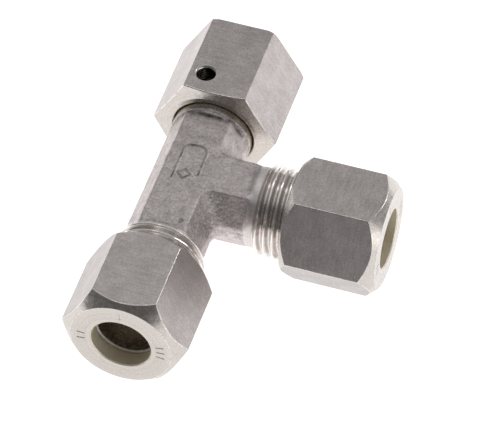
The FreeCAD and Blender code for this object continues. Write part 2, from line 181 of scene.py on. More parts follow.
# forged middle; the voxels and the rounds of smoothing soften the CAD forging's edges
WELD_DISTANCE = 1e-7
SMOOTH_FACTOR = 0.5
FORGING_ENDS = {"run": 14.35, "branch": 13.25, "swivel": 12.35}
OVERRUN = 1.0
VOXEL = 0.13
FLAT_HEIGHT = 6.2
FORGING_SMOOTHING = 14
NECK_STARTS = {"run": 13.9, "branch": 11.9}
NECK_SMOOTHING = 45
NECK_SMOOTH_FROM = {"run": 12.2, "branch": 11.0}
COLLAR_SMOOTHING = 8
COLLAR_SMOOTH_FROM = 10.6
CORNER = 7.2
CORNER_SMOOTHING = 90
CORNER_REACH = 2.2
NECK_RAGGED = 0.35
NECK_RAGGED_SCALE = 1.4

# what the die and the blasting leave on the forging, with painted shade on it. A pair is where a
# soft step begins and ends, a painted shade is (strength, width), and a layer of the skin is
# (height, noise scale, noise shift).
TOP_SLOPE = 0.5
TOP_HEIGHT = 5.6
FRAME_LEFT = -1.78
FRAME_RIGHT = 2.33
FRAME_TOP = 4.68
FRAME_FEET = (-3.25, -1.6)
FRAME_CORNER = 1.5
FRAME_REGION = ((-2.5, 3.0), (-3.8, 5.3))
FRAME_RISE = 0.14
FRAME_LINE = (0.05, 0.3)
LOZENGE_PLACE = -1.9
LOZENGE_HALF = 1.08
PUNCH_PLACE = (2.6, -11.9)
PUNCH_DEPTH = 0.22
PUNCH_WALL = (0.15, 0.62)
PUNCH_LIP = 0.04
PUNCH_LIP_RADIUS = 0.75
PUNCH_LIP_WIDTH = 0.16
FLASH_RISE = 0.05
FLASH_EDGE = (0.16, 0.3)
FLASH_REGION = 2.6
FLASH_SLOPE = (0.75, 0.3)
SKIN_LAYERS = ((0.05, 0.42, 11.0), (0.022, 1.5, 5.0), (0.012, 4.0, 0.0))
# painted shade, kept as a vertex attribute: beside the frame's lines, in the punch's dimple, in the
# collar's fillet
STAIN = "stain"
STAIN_MOST = 0.8
LINE_STAIN = (0.6, 0.15)
PUNCH_STAIN = (0.45, 0.45)
COLLAR_STAIN = (0.62, 0.5)
COLLAR_STAIN_PLACE = 11.6
COLLAR_STAIN_HEIGHT = (1.0, 4.0)
PATCH_MEAN = 0.75
PATCH_RANGE = 1.1
PATCH_NOISE = (0.9, 3.0)
LINE_PATCHES = (0.3, 1.2)
COLLAR_PATCHES = (0.2, 1.3)

# material slots of a nut, of a tee end and of the forging
NUT_TURNED, NUT_FLAT, NUT_INSIDE, NUT_WORN, NUT_DRILLED = range(5)
END_THREAD, END_FORGED, END_BORE, END_NECK, END_TURNED = range(5)
FORGING_NECK = 1

# colours
STEEL_DARK = (0.565, 0.522, 0.488)
STEEL_LIGHT = (0.64, 0.592, 0.553)
BAR_DARK = (0.472, 0.430, 0.420)
BAR_LIGHT = (0.555, 0.508, 0.497)
THREAD_DARK = (0.76, 0.71, 0.68)
THREAD_LIGHT = (0.88, 0.83, 0.80)
# painted highlight on the threads' crests
CREST_SHINE = (0.94, 0.90, 0.87)
NECK_DARK = (0.72, 0.67, 0.66)
NECK_LIGHT = (0.86, 0.81, 0.80)
# rubbed-bright edge colour, which on the wire hole's countersink is a painted glint
WORN_EDGE = (0.76, 0.72, 0.69)
# painted shade inside the wire hole
HOLE_DARK = (0.10, 0.10, 0.085)
HOLE_LIGHT = (0.2, 0.2, 0.17)
BORE_DARK = (0.76, 0.68, 0.52)
BORE_LIGHT = (0.88, 0.80, 0.64)
FORGED_DARK = (0.545, 0.492, 0.487)
FORGED_LIGHT = (0.73, 0.67, 0.663)
# painted highlight on the outermost edge of the cutting rings' bores
RING_RIM = (0.95, 0.93, 0.88)
RING_RIM_DEPTH = (0.22, 0.3)
RUBBER_DARK = (0.012, 0.012, 0.013)
RUBBER_LIGHT = (0.035, 0.034, 0.033)
FLOOR_GREY = (0.4, 0.4, 0.4)

# where the finishes lie, by radius, by place along the axis or by a noise's value
SLOPE_MARGIN = 0.02
OUTSIDE = 8.3
FLATS_FROM = 9.3
CAVITY = 6.2
NECK_REACH = 7.05
NECK_TO = max(NECK_ENDS.values()) + 0.2
SPIGOT_FORGED_TO = 14.5
# radii of the threads' painted crest highlight and of their painted flank shade
CREST_FROM = (7.65, 7.9)
FLANK_FROM = (7.12, 7.3)
FLANK_TO = (7.6, 7.85)
FLANK_DARKENING = 0.2
NOISE_SPAN = (0.3, 0.7)
WEAR_SPAN = (0.35, 0.6)
GRAIN_SPAN = (0.28, 0.72)
SPECK_SPAN = (0.28, 0.45)
PIT_WALL = (0.1, 0.6)
STREAK_SCALE = (0.35, 0.35, 4.0)

# camera: place and target in millimetres from the tee's centre, roll in degrees, clipping in metres
CAMERA_PLACE = (152.8, -452.2, 540.1)
CAMERA_TARGET = (12.0, -2.7, 0.0)
CAMERA_ROLL = 0.36
CAMERA_LENS = 306.6
CAMERA_SENSOR = 36.0
CAMERA_CLIP = (0.01, 20.0)

# floor and light, in metres; four numbers are a fade: from, to, value before, value after
FLOOR_HALF = 3.0
FLOOR_GAP_MM = 0.02
FLOOR_ROUGHNESS = 0.9
FLOOR_SPECULAR = 0.1
# the floor's glow: darker far in front, brighter to the left and behind
FLOOR_NEAR = (-0.16, -0.07, 0.66, 0.96)
FLOOR_LEFT = (-0.07, 0.0, 0.2, 0.0)
FLOOR_BEHIND = (-0.03, 0.05, 0.0, 0.1)
SOFTBOX = {"size": (0.16, 0.16), "power": 0.13, "place": (-0.17, 0.35, 0.7)}
STRIP = {"size": (0.12, 0.4), "power": 0.5, "place": (0.42, 0.42, 0.36)}
ROOM_FRONT = 0.14
ROOM_FRONT_UP = 0.12
ROOM_BACK = 0.43
ROOM_HORIZON = 0.42
ROOM_TO_BACK = (-0.7, 0.7, 0.0, 1.0)
ROOM_TO_UP = (0.2, 0.7, 0.0, 1.0)
ROOM_TO_LOW = (0.0, 0.3, 1.0, 0.0)
ROOM_SIDE = (0.5, 0.95, 0.0, 1.8)
ROOM_SIDE_HEIGHT = (0.1, 0.5, 1.0, 0.0)
ROOM_SIDE_FRONT = (-0.15, 0.2, 1.0, 0.0)
ROOM_ZENITH = (0.82, 0.97, 0.0, 0.3)


def end_matrix(end, distance=0.0):
    """Places a local mesh on an end, at a distance in millimetres out along its axis."""
    turn = Matrix(END_AXES[end]).transposed().to_4x4()
    return turn @ Matrix.Translation(Vector((0, 0, distance * MM)))


# ---------------------------------------------------------------- turned and hexagonal shapes

def unit(vector):
    return vector / np.linalg.norm(vector)


def rounded_corner(before, corner, after, rounding):
    """Points round one corner of a section, with a support point on each side of the arc."""
    back = unit(before - corner)
    ahead = unit(after - corner)
    half = 0.5 * math.acos(float(np.clip(back @ ahead, -1, 1)))
    room = ARC_ROOM * min(np.linalg.norm(before - corner), np.linalg.norm(after - corner))
    reach = min(rounding / math.tan(half), room)
    radius = reach * math.tan(half)
    centre = corner + unit(back + ahead) * radius / math.sin(half)
    start = corner + back * reach - centre
    stop = corner + ahead * reach - centre
    begin = math.atan2(start[1], start[0])
    sweep = (math.atan2(stop[1], stop[0]) - begin + math.pi) % (2 * math.pi) - math.pi
    points = [corner + back * (reach + SUPPORT)]
    for step in range(ARC_STEPS + 1):
        angle = begin + sweep * step / ARC_STEPS
        points.append(centre + radius * np.array((math.cos(angle), math.sin(angle))))
    points.append(corner + ahead * (reach + SUPPORT))
    return points


def rounded(corners):
    """An open section line; each corner is (radius, place) or (radius, place, rounding)."""
    places = [np.array(corner[:2], float) for corner in corners]
    points = []
    for index, corner in enumerate(corners):
        inside = 0 < index < len(corners) - 1
        if inside and len(corner) == 3:
            points += rounded_corner(places[index - 1], places[index], places[index + 1],
                                     corner[2])
        else:
            points.append(places[index])
    return np.array(points)


def from_groove(place, angle, groove):
    """Distance along the axis from the middle of the nearest turn of a helical groove."""
    shifted = place - groove - PITCH * angle / (2 * math.pi)
    return np.abs((shifted + PITCH / 2) % PITCH - PITCH / 2)


def male_thread(place, angle, groove):
    away = from_groove(place, angle, groove)
    return np.clip(MALE_ROOT + (away - ROOT_HALF) / TAN_FLANK, MALE_ROOT, MALE_CREST)


def female_thread(place, angle, groove):
    away = from_groove(place, angle, groove)
    widest = PITCH / 2 - ROOT_HALF + FLANK_GAP
    return np.clip(MALE_ROOT + (widest - away) / TAN_FLANK, FEMALE_CREST, FEMALE_ROOT)


def softened(shape, place, angle, groove):
    """A thread's radius averaged over a short length, which rounds its crests and roots."""
    shifts = (-THREAD_SOFTNESS, 0, THREAD_SOFTNESS)
    return sum(shape(place + shift, angle, groove) for shift in shifts) / len(shifts)


def thread_rows(shape, start, stop, angle, groove, limit, lowest):
    """Rows of a thread from start to stop, cut by the blank's own outline, given as limit."""
    count = int(round(abs(stop - start) / THREAD_STEP)) + 1
    place = np.linspace(start, stop, count)
    radius = softened(shape, place, angle, groove)
    bound = limit(place)
    radius = np.minimum(radius, bound) if lowest else np.maximum(radius, bound)
    return np.column_stack((radius, place))


def hex_radius(angle):
    """Radius of a hexagon with flats facing local +Y and -Y and lightly rounded corners."""
    half = HEX_SECTOR / 2
    off_flat = (angle - math.pi / 2 + half) % HEX_SECTOR - half
    off_corner = half - abs(off_flat)
    centre = (HEX_FLATS / 2 - HEX_CORNER_ROUND) / math.cos(half)
    if off_corner < corner_half_angle():
        side = centre * math.sin(off_corner)
        return centre * math.cos(off_corner) + math.sqrt(HEX_CORNER_ROUND**2 - side**2)
    return HEX_FLATS / 2 / math.cos(off_flat)


def corner_half_angle():
    """Half the angle that a hexagon's rounded corner takes up, seen from the axis."""
    half = HEX_SECTOR / 2
    centre = (HEX_FLATS / 2 - HEX_CORNER_ROUND) / math.cos(half)
    across = HEX_CORNER_ROUND * math.sin(half)
    return math.atan2(across, centre + HEX_CORNER_ROUND * math.cos(half))


def hex_angles(ticks=()):
    """Angles of the section planes: even steps, more at the corners, and each tick's edges."""
    angles = round_angles()
    half = corner_half_angle()
    for corner in range(6):
        angles += [HEX_SECTOR * corner + half * share for share in HEX_CORNER_SHARES]
    for tick in ticks:
        angles += [math.radians(tick) + side * (TICK_HALF + shift) / TICK_MIDDLE
                   for side in (-1, 1) for shift in (-TINY, TINY)]
    folded = sorted(angle % (2 * math.pi) for angle in angles)
    kept = [folded[0]]
    for angle in folded[1:]:
        if angle - kept[-1] > SAME_ANGLE:
            kept.append(angle)
    return kept


def round_angles():
    return list(np.radians(np.arange(0, 360, ANGLE_STEP)))


def lathe(name, angles, section_at):
    """A closed ring-shaped mesh through one closed section for each angle round the axis."""
    sections = [section_at(angle) for angle in angles]
    rows = len(sections[0])
    places = np.empty((len(angles), rows, 3))
    for index, (angle, section) in enumerate(zip(angles, sections)):
        places[index, :, 0] = section[:, 0] * math.cos(angle)
        places[index, :, 1] = section[:, 0] * math.sin(angle)
        places[index, :, 2] = section[:, 1]
    column = np.arange(len(angles))[:, None] * rows
    next_column = np.roll(np.arange(len(angles)), -1)[:, None] * rows
    row = np.arange(rows)[None, :]
    next_row = np.roll(np.arange(rows), -1)[None, :]
    faces = np.stack((column + row, next_column + row, next_column + next_row,
                      column + next_row), axis=-1).reshape(-1, 4)
    return mesh_from(name, places.reshape(-1, 3), faces)


def mesh_from(name, places, faces):
    mesh = bpy.data.meshes.new(name)
    mesh.from_pydata((places * MM).tolist(), [], faces.tolist())
    finish_mesh(mesh)
    return mesh


def finish_mesh(mesh):
    """Outward faces, smooth shading, and hard edges where faces meet at a real angle."""
    work = bmesh.new()
    work.from_mesh(mesh)
    bmesh.ops.recalc_face_normals(work, faces=work.faces)
    work.to_mesh(mesh)
    work.free()
    mesh.shade_smooth()
    mesh.set_sharp_from_angle(angle=math.radians(SHARP_ANGLE))


def add_piece(name, mesh, body, matrix=None):
    piece = bpy.data.objects.new(name, mesh)
    bpy.context.scene.collection.objects.link(piece)
    if matrix:
        piece.matrix_world = matrix
    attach(piece, body)
    return piece


# ---------------------------------------------------------------- the nuts

def in_tick(angle):
    gaps = [abs((angle - math.radians(tick) + math.pi) % (2 * math.pi) - math.pi)
            for tick in TICK_ANGLES]
    return min(gaps) * TICK_MIDDLE < TICK_HALF


def union_nut_section(angle):
    """Section of a union nut from the thread's mouth, over the outside, and back inside."""
    reach = hex_radius(angle)
    top = NUT_LENGTH
    floor = top - (TICK_DEPTH if in_tick(angle) else 0.0)
    cone_top = top - NUT_LAND
    outside = rounded([
        (THREAD_MOUTH, 0.0),
        (NUT_REAR_RING, 0.0, 0.15),
        (reach, reach - NUT_REAR_RING, 0.25),
        (reach, top - (reach - NUT_FRONT_RING), 0.3),
        (NUT_FRONT_RING, top, 0.25),
        (TICK_OUTER + TINY, top),
        (TICK_OUTER - TINY, floor),
        (TICK_INNER + TINY, floor),
        (TICK_INNER - TINY, top),
        (NUT_BORE + NUT_EDGE, top, 0.06),
        (NUT_BORE, top - NUT_EDGE, 0.06),
        (NUT_BORE, cone_top, 0.3),
        (FEMALE_CREST, cone_top - (FEMALE_CREST - NUT_BORE), 0.08),
        (FEMALE_CREST, NUT_RELIEF_END, 0.05),
        (RELIEF_RADIUS, NUT_RELIEF_END, 0.05),
        (RELIEF_RADIUS, THREAD_END + END_GAP),
    ])
    groove = HELIX_START + PITCH / 2 - NUT_REAR
    inside = thread_rows(female_thread, THREAD_END - END_GAP, END_GAP, angle, groove,
                         lambda place: THREAD_MOUTH - place, lowest=False)
    return np.vstack((outside, inside))


def swivel_nut_section(angle):
    """Section of the swivel nut, with the wire's groove inside its plain bore."""
    reach = hex_radius(angle)
    rear_slope = SWIVEL_REAR_DROP / (HEX_CORNERS - SWIVEL_REAR_RING)
    front_slope = SWIVEL_FRONT_DROP / (HEX_CORNERS - SWIVEL_FRONT_RING)
    front_drop = SWIVEL_FACE_DROP + front_slope * max(reach - SWIVEL_FRONT_RING, 0.0)
    top = SWIVEL_LENGTH
    outside = rounded([
        (SWIVEL_MOUTH, 0.0, 0.05),
        (SWIVEL_REAR_RING, 0.0, 0.3),
        (reach, rear_slope * (reach - SWIVEL_REAR_RING), 0.22),
        (reach, top - front_drop, 0.12),
        (min(SWIVEL_FRONT_RING, reach - SWIVEL_FACE_INSET), top, 0.08),
        (THREAD_MOUTH, top, 0.06),
        (THREAD_MOUTH - END_GAP, top - END_GAP),
    ])
    groove = HELIX_START + PITCH / 2
    threads = thread_rows(female_thread, top - END_GAP, SWIVEL_RELIEF[1] + END_GAP, angle, groove,
                          lambda place: THREAD_MOUTH - (top - place), lowest=False)
    middle = WIRE_PLACE - SWIVEL_REAR
    spread = math.acos((WIRE_RING - SWIVEL_BORE) / WIRE_GROOVE)
    groove_arc = [(WIRE_RING + WIRE_GROOVE * math.cos(turn), middle + WIRE_GROOVE * math.sin(turn))
                  for turn in np.linspace(math.pi - spread, spread - math.pi, WIRE_GROOVE_POINTS)]
    plain = rounded([
        (RELIEF_RADIUS, SWIVEL_RELIEF[1]),
        (RELIEF_RADIUS, SWIVEL_RELIEF[0], 0.05),
        (SWIVEL_BORE, SWIVEL_RELIEF[0], 0.05),
        (SWIVEL_BORE, groove_arc[0][1] + SUPPORT),
        *groove_arc,
        (SWIVEL_BORE, SWIVEL_MOUTH - SWIVEL_BORE, 0.05),
        (SWIVEL_MOUTH, 0.0),
    ])
    return np.vstack((outside, threads, plain))


def wire_hole_cutter():
    """A countersunk drill shape standing on a flat, in the swivel nut's local frame."""
    radius, sink = WIRE_HOLE_RADIUS, WIRE_HOLE_SINK
    lip = [(radius + share * sink, -sink * (1 - share)**SINK_CURVE) for share in SINK_SHARES]
    section = [(0.0, -WIRE_HOLE_TIP), (radius, -WIRE_HOLE_DEPTH), *lip,
               (2 * radius + sink, radius), (0.0, radius)]
    turns = [2 * math.pi * step / WIRE_HOLE_STEPS for step in range(WIRE_HOLE_STEPS)]
    work = bmesh.new()
    rings = []
    for reach, depth in section:
        around = turns if reach else turns[:1]
        rings.append([work.verts.new((reach * MM * math.cos(turn), depth * MM,
                                      reach * MM * math.sin(turn))) for turn in around])
    for lower, upper in zip(rings, rings[1:]):
        for step in range(WIRE_HOLE_STEPS):
            after = (step + 1) % WIRE_HOLE_STEPS
            corners = [lower[step % len(lower)], lower[after % len(lower)],
                       upper[after % len(upper)], upper[step % len(upper)]]
            work.faces.new(list(dict.fromkeys(corners)))
    bmesh.ops.recalc_face_normals(work, faces=work.faces)
    mesh = bpy.data.meshes.new("wire_hole_cutter")
    work.to_mesh(mesh)
    work.free()
    mesh.transform(Matrix.Translation(Vector(WIRE_HOLE_PLACE) * MM))
    return bpy.data.objects.new("wire_hole_cutter", mesh)


def evaluated_mesh(piece):
    """The piece's mesh with its modifiers applied."""
    graph = bpy.context.evaluated_depsgraph_get()
    graph.update()
    return bpy.data.meshes.new_from_object(piece.evaluated_get(graph))


def cut(mesh, cutter):
    """A mesh with another object's volume taken away."""
    work = bpy.data.objects.new("cut_work", mesh)
    for item in (work, cutter):
        bpy.context.scene.collection.objects.link(item)
    boolean = work.modifiers.new("cut", "BOOLEAN")
    boolean.operation = "DIFFERENCE"
    boolean.solver = "EXACT"
    boolean.object = cutter
    result = evaluated_mesh(work)
    for item in (work, cutter):
        bpy.data.objects.remove(item)
    return result


def sharpen_round_flats(mesh):
    """Hard edges wherever a hexagon flat meets the drilled hole."""
    work = bmesh.new()
    work.from_mesh(mesh)
    for edge in work.edges:
        if len(edge.link_faces) != 2:
            continue
        on_flat = [abs(abs(face.normal.y) - 1) < FLAT_MARGIN for face in edge.link_faces]
        if on_flat[0] != on_flat[1]:
            edge.smooth = False
    work.to_mesh(mesh)
    work.free()


def mark_wire_hole(mesh):
    """The drilled hole's wall gets painted dark shade, and its countersink the rubbed-edge finish,
    which paints its glints.
    """
    across, height, along = WIRE_HOLE_PLACE
    for face in mesh.polygons:
        place = face.center / MM
        off = math.hypot(place.x - across, place.z - along)
        if off < WIRE_HOLE_RADIUS + WIRE_HOLE_SINK and place.y > WIRE_HOLE_LOWEST:
            if abs(face.normal.y) < WALL_SLOPE:
                face.material_index = NUT_DRILLED
            # the countersink's light finish paints the glints of its rim
            elif SINK_SLOPES[0] < face.normal.y < SINK_SLOPES[1] and place.y > height - SINK_REACH:
                face.material_index = NUT_WORN


def add_nut(name, mesh, body, matrix):
    piece = add_piece(f"{name}_finished", mesh, body, matrix)
    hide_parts(name)
    return piece


def make_nuts():
    union = lathe("union_nut", hex_angles(TICK_ANGLES), union_nut_section)
    mark_zones(union, (NUT_CHAMFER_SLOPE,), worn_corners=True)
    swivel = cut(lathe("swivel_nut", hex_angles(), swivel_nut_section), wire_hole_cutter())
    swivel.shade_smooth()
    swivel.set_sharp_from_angle(angle=math.radians(SWIVEL_SHARP_ANGLE))
    sharpen_round_flats(swivel)
    mark_zones(swivel, SWIVEL_CHAMFER_SLOPES, worn_corners=False)
    mark_wire_hole(swivel)
    return [
        add_nut("union_nut_run", union, "run_nut", end_matrix("run", NUT_REAR)),
        add_nut("union_nut_branch", union, "branch_nut", end_matrix("branch", NUT_REAR)),
        add_nut("swivel_nut", swivel, "swivel", end_matrix("swivel", SWIVEL_REAR)),
    ]


# ---------------------------------------------------------------- the tee

def male_end_section(angle, neck_end):
    """Threaded male end with its 24 degree cone and tube socket, in the end's local frame."""
    cone_foot = END_FACE - (CONE_MOUTH - SOCKET) / math.tan(CONE_ANGLE)
    threads = thread_rows(
        male_thread, neck_end - NECK_START_GAP, END_FACE - END_GAP, angle, HELIX_START,
        lambda place: np.minimum(NECK_RADIUS + NECK_SLOPE * (place - neck_end),
                                 END_CHAMFER_RADIUS + END_FACE - place), lowest=True)
    rest = rounded([
        (END_CHAMFER_RADIUS, END_FACE),
        (CONE_MOUTH, END_FACE, 0.06),
        (SOCKET, cone_foot, 0.05),
        (SOCKET, TUBE_STOP, 0.1),
        (BORE, TUBE_STOP, 0.08),
        (BORE, neck_end - NECK_OVERLAP),
        (NECK_INSIDE, neck_end - NECK_OVERLAP),
        (NECK_FOOT, neck_end - NECK_FOOT_GAP),
    ])
    return np.vstack((threads, rest))


def spigot_section(_):
    """Collar, wire groove, 24 degree taper and seal groove of the swivel end."""
    slope = (SPIGOT - SPIGOT_TIP_RADIUS) / (SPIGOT_TIP - SPIGOT_START)
    spread = math.acos((WIRE_RING - COLLAR) / WIRE_GROOVE)
    arc = [(WIRE_RING - WIRE_GROOVE * math.cos(turn), WIRE_PLACE + WIRE_GROOVE * math.sin(turn))
           for turn in np.linspace(-spread, spread, WIRE_GROOVE_POINTS)]
    lips = [(SPIGOT - slope * (place - SPIGOT_START), place, 0.08) for place in SEAL_GROOVE]
    return rounded([
        (COLLAR_INSIDE, COLLAR_START),
        (COLLAR - COLLAR_CHAMFER, COLLAR_START, 0.05),
        (COLLAR, COLLAR_START + COLLAR_CHAMFER, 0.2),
        (COLLAR, arc[0][1] - SUPPORT),
        *arc,
        (COLLAR, COLLAR_END, 0.15),
        (SPIGOT, SPIGOT_START, 0.15),
        lips[0],
        (SEAL_FLOOR, SEAL_GROOVE[0], 0.08),
        (SEAL_FLOOR, SEAL_GROOVE[1], 0.08),
        lips[1],
        (SPIGOT_TIP_RADIUS, SPIGOT_TIP, 0.2),
        (SPIGOT_BORE, SPIGOT_TIP, 0.12),
        (SPIGOT_BORE, COLLAR_START),
    ])


def make_machined_ends():
    meshes = {end: lathe("male_end", round_angles(),
                         lambda angle, neck_end=neck_end: male_end_section(angle, neck_end))
              for end, neck_end in NECK_ENDS.items()}
    meshes["swivel"] = lathe("spigot", round_angles(), spigot_section)
    pieces = []
    for end, mesh in meshes.items():
        mark_end_zones(mesh, end == "swivel")
        pieces.append(add_piece(f"tee_{end}_end", mesh, "tee", end_matrix(end)))
    return pieces


def middle_of_tee():
    """The forged middle of the CAD tee, cut off at the machined ends and closed there."""
    work = bmesh.new()
    work.from_mesh(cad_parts["tee_body"].data)
    bmesh.ops.remove_doubles(work, verts=work.verts, dist=WELD_DISTANCE)
    for end, reach in FORGING_ENDS.items():
        axis = Vector(END_AXES[end][2])
        cut_line = bmesh.ops.bisect_plane(
            work, geom=list(work.verts) + list(work.edges) + list(work.faces),
            plane_co=axis * reach * MM, plane_no=axis, clear_outer=True)["geom_cut"]
        rim = [item for item in cut_line if isinstance(item, bmesh.types.BMEdge)]
        skirt = bmesh.ops.extrude_edge_only(work, edges=rim)["geom"]
        moved = [item for item in skirt if isinstance(item, bmesh.types.BMVert)]
        bmesh.ops.translate(work, verts=moved, vec=axis * OVERRUN * MM)
        rim = [item for item in skirt if isinstance(item, bmesh.types.BMEdge)
               and item.verts[0] in set(moved) and item.verts[1] in set(moved)]
        bmesh.ops.triangle_fill(work, edges=rim, use_beauty=True)
    bmesh.ops.recalc_face_normals(work, faces=work.faces)
    mesh = bpy.data.meshes.new("forging_blank")
    work.to_mesh(mesh)
    work.free()
    return mesh


def remeshed(mesh, voxel, smoothing):
    """An even mesh of the same shape, with its edges softened."""
    work = bpy.data.objects.new("remesh_work", mesh)
    bpy.context.scene.collection.objects.link(work)
    remesh = work.modifiers.new("remesh", "REMESH")
    remesh.mode = "VOXEL"
    remesh.voxel_size = voxel * MM
    smooth = work.modifiers.new("smooth", "SMOOTH")
    smooth.factor = SMOOTH_FACTOR
    smooth.iterations = smoothing
    result = evaluated_mesh(work)
    bpy.data.objects.remove(work)
    return result


def smoothstep(value, low, high):
    share = np.clip((value - low) / (high - low), 0, 1)
    return share * share * (3 - 2 * share)


def bell(distance, width):
    return np.exp(-(distance / width) ** 2)


def segment_distance(places, start, stop):
    """Distance of each flat place from a straight line between two points."""
    start, stop = np.array(start), np.array(stop)
    along = stop - start
    share = np.clip((places - start) @ along / (along @ along), 0, 1)
    return np.linalg.norm(places - start - share[:, None] * along, axis=1)


def die_frame_distance(places):
    """Distance from the middle line of the forged frame: two legs and a bowed top."""
    left, right, top, corner = FRAME_LEFT, FRAME_RIGHT, FRAME_TOP, FRAME_CORNER
    lines = [((left, FRAME_FEET[0]), (left, top - corner)),
             ((left + corner, top), (right - corner, top)),
             ((right, top - corner), (right, FRAME_FEET[1]))]
    away = np.min([segment_distance(places, *line) for line in lines], axis=0)
    for side in (left + corner, right - corner):
        off = places - np.array((side, top - corner))
        on_arc = (off[:, 1] > 0) & (off[:, 0] * (side - (left + right) / 2) > 0)
        arc = np.abs(np.linalg.norm(off, axis=1) - corner)
        away = np.where(on_arc, np.minimum(away, arc), away)
    return away


def lozenge_distance(places):
    """Distance from the outline of the plain lozenge at the frame's open end."""
    reach = np.abs(places[:, 0]) + np.abs(places[:, 1] - LOZENGE_PLACE)
    return np.abs(reach - LOZENGE_HALF) / math.sqrt(2)


def noise_at(places, scale, shift=0.0):
    return np.array([noise.noise(Vector(place) * scale + Vector((shift, shift, shift)))
                     for place in places.tolist()])


def vertex_values(mesh, kind):
    values = np.empty(len(mesh.vertices) * 3)
    mesh.vertices.foreach_get(kind, values)
    return values.reshape(-1, 3)


def forged_surface(mesh):
    """What the die and the blasting leave: small moves of the skin, and painted shade to darken it
    by.
    """
    places = vertex_values(mesh, "co") / MM
    normals = vertex_values(mesh, "normal")
    x, y, z = places.T
    on_top = (normals[:, 2] > TOP_SLOPE) & (z > TOP_HEIGHT)

    (low_x, high_x), (low_y, high_y) = FRAME_REGION
    near_frame = on_top & (x > low_x) & (x < high_x) & (y > low_y) & (y < high_y)
    places[near_frame, 2] = np.minimum(places[near_frame, 2], FLAT_HEIGHT)
    flat_places = places[:, :2]
    line = np.minimum(die_frame_distance(flat_places), lozenge_distance(flat_places))
    frame_rise = FRAME_RISE * (1 - smoothstep(line, *FRAME_LINE))
    dimple = np.linalg.norm(flat_places - np.array(PUNCH_PLACE), axis=1)
    punch = PUNCH_DEPTH * (1 - smoothstep(dimple, *PUNCH_WALL))
    lip = PUNCH_LIP * bell(dimple - PUNCH_LIP_RADIUS, PUNCH_LIP_WIDTH)
    rise = np.where(on_top, frame_rise - punch + lip, 0.0)

    sides = smoothstep(np.abs(normals[:, 2]), *FLASH_SLOPE) * (np.abs(z) < FLASH_REGION)
    flash = FLASH_RISE * (1 - smoothstep(np.abs(z), *FLASH_EDGE)) * sides
    skin = sum(height * noise_at(places, scale, shift) for height, scale, shift in SKIN_LAYERS)
    places += normals * (rise + flash + skin)[:, None]

    patches = PATCH_MEAN + PATCH_RANGE * noise_at(places, *PATCH_NOISE)
    # painted shade: darker beside the raised lines, in and round the punch's dimple, and in the
    # upper fillet at the collar
    line_stain = LINE_STAIN[0] * bell(line, LINE_STAIN[1]) * np.clip(patches, *LINE_PATCHES)
    punch_stain = PUNCH_STAIN[0] * bell(dimple, PUNCH_STAIN[1])
    collar_stain = (COLLAR_STAIN[0] * bell(y - COLLAR_STAIN_PLACE, COLLAR_STAIN[1])
                    * smoothstep(z, *COLLAR_STAIN_HEIGHT) * np.clip(patches, *COLLAR_PATCHES))
    stain = np.where(on_top, line_stain + punch_stain, 0.0) + collar_stain

    mesh.vertices.foreach_set("co", (places * MM).reshape(-1))
    marks = mesh.attributes.new(STAIN, "FLOAT", "POINT")
    marks.data.foreach_set("value", np.clip(stain, 0, STAIN_MOST))
    mesh.update()


def soften_necks(mesh):
    """Soft run-outs into the round necks and the collar, and full fillets in the corners."""
    work = bmesh.new()
    work.from_mesh(mesh)
    places = [(vert, vert.co / MM) for vert in work.verts]
    necks = [vert for vert, place in places if place.x > NECK_SMOOTH_FROM["branch"]
             or -place.y > NECK_SMOOTH_FROM["run"]]
    collar = [vert for vert, place in places if place.y > COLLAR_SMOOTH_FROM]
    corners = [vert for vert, place in places
               if math.hypot(place.x - CORNER, abs(place.y) - CORNER) < CORNER_REACH]
    for region, rounds in ((necks, NECK_SMOOTHING), (collar, COLLAR_SMOOTHING),
                           (corners, CORNER_SMOOTHING)):
        for _ in range(rounds):
            bmesh.ops.smooth_vert(work, verts=region, factor=SMOOTH_FACTOR, use_axis_x=True,
                                  use_axis_y=True, use_axis_z=True)
    work.to_mesh(mesh)
    work.free()


def make_forging():
    mesh = remeshed(middle_of_tee(), VOXEL, FORGING_SMOOTHING)
    soften_necks(mesh)
    forged_surface(mesh)
    mesh.shade_smooth()
    piece = add_piece("tee_forging", mesh, "tee")
    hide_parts("tee_body")
    return piece


# ---------------------------------------------------------------- stage

def make_camera():
    """The viewpoint: about 20 degrees round from the run, 49 degrees above the table."""
    place, target = Vector(CAMERA_PLACE) * MM, Vector(CAMERA_TARGET) * MM
    data = bpy.data.cameras.new("camera")
    data.sensor_width = CAMERA_SENSOR
    data.lens = CAMERA_LENS
    data.clip_start, data.clip_end = CAMERA_CLIP
    camera = bpy.data.objects.new("camera", data)
    bpy.context.scene.collection.objects.link(camera)
    camera.location = place
    look = (target - place).to_track_quat("-Z", "Y")
    roll = Matrix.Rotation(math.radians(CAMERA_ROLL), 3, "Z").to_quaternion()
    camera.rotation_mode = "QUATERNION"
    camera.rotation_quaternion = look @ roll
    bpy.context.scene.camera = camera


